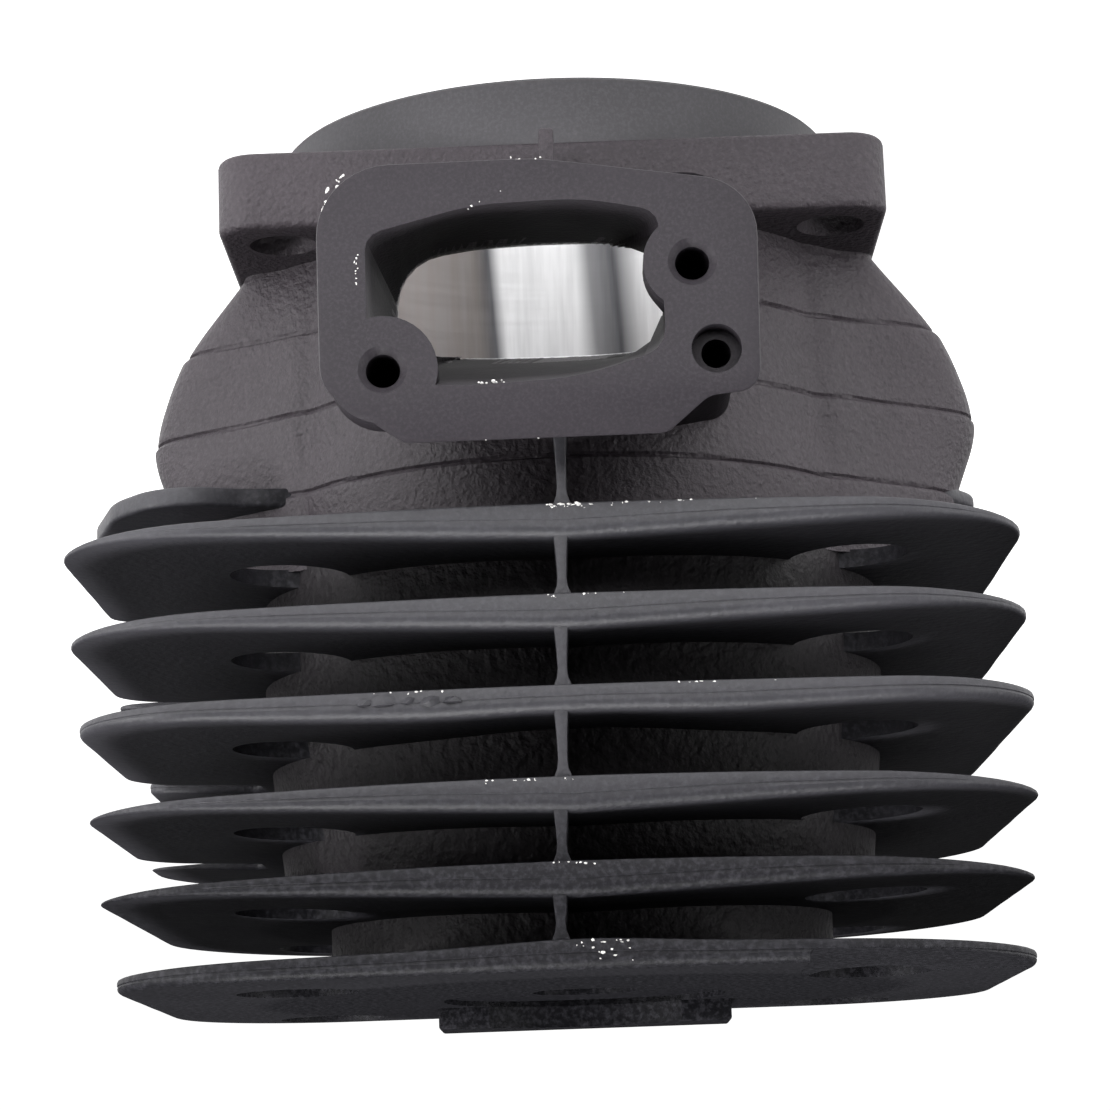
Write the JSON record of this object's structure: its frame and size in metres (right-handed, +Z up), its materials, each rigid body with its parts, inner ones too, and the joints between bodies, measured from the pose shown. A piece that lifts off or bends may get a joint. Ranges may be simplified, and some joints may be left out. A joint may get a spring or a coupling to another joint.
{
  "type": "air-cooled two-stroke engine cylinder",
  "caption": "Black-painted two-stroke cylinder with integral finned head, crankcase spigot and flange, side transfer ducts, and intake and exhaust flanges around a bright bore",
  "frame": {"origin": "on the bore axis, in the plane of the spigot's rim, which is the cylinder's lowest face when its head is up", "axes": "+Z runs up the bore axis to the head, -Y is the side of the intake flange, +Y is the side of the exhaust flange, and +X is the side of the fins that have the gap"},
  "size_m": [0.11, 0.114, 0.1065],
  "materials": {
    "black_paint": "satin black paint over sand-cast and machined aluminium",
    "bright_bore": "polished plated bore"
  },
  "bodies": {
    "root": {"crankcase_flange": "black_paint", "cylinder_barrel": "black_paint", "bore_liner": "bright_bore", "combustion_head": "black_paint", "transfer_duct_left": "black_paint", "transfer_duct_right": "black_paint", "intake_port_block": "black_paint", "exhaust_port_block": "black_paint", "cooling_fin_0_left": "black_paint", "cooling_fin_0_right": "black_paint", "cooling_fin_1": "black_paint", "cooling_fin_2": "black_paint", "cooling_fin_3": "black_paint", "cooling_fin_4": "black_paint", "cooling_fin_5": "black_paint", "cooling_fin_6": "black_paint", "rear_boss": "black_paint", "front_web_1": "black_paint", "front_web_2": "black_paint", "front_web_3": "black_paint", "front_web_4": "black_paint", "front_web_5": "black_paint"}
  },
  "joints": []
}
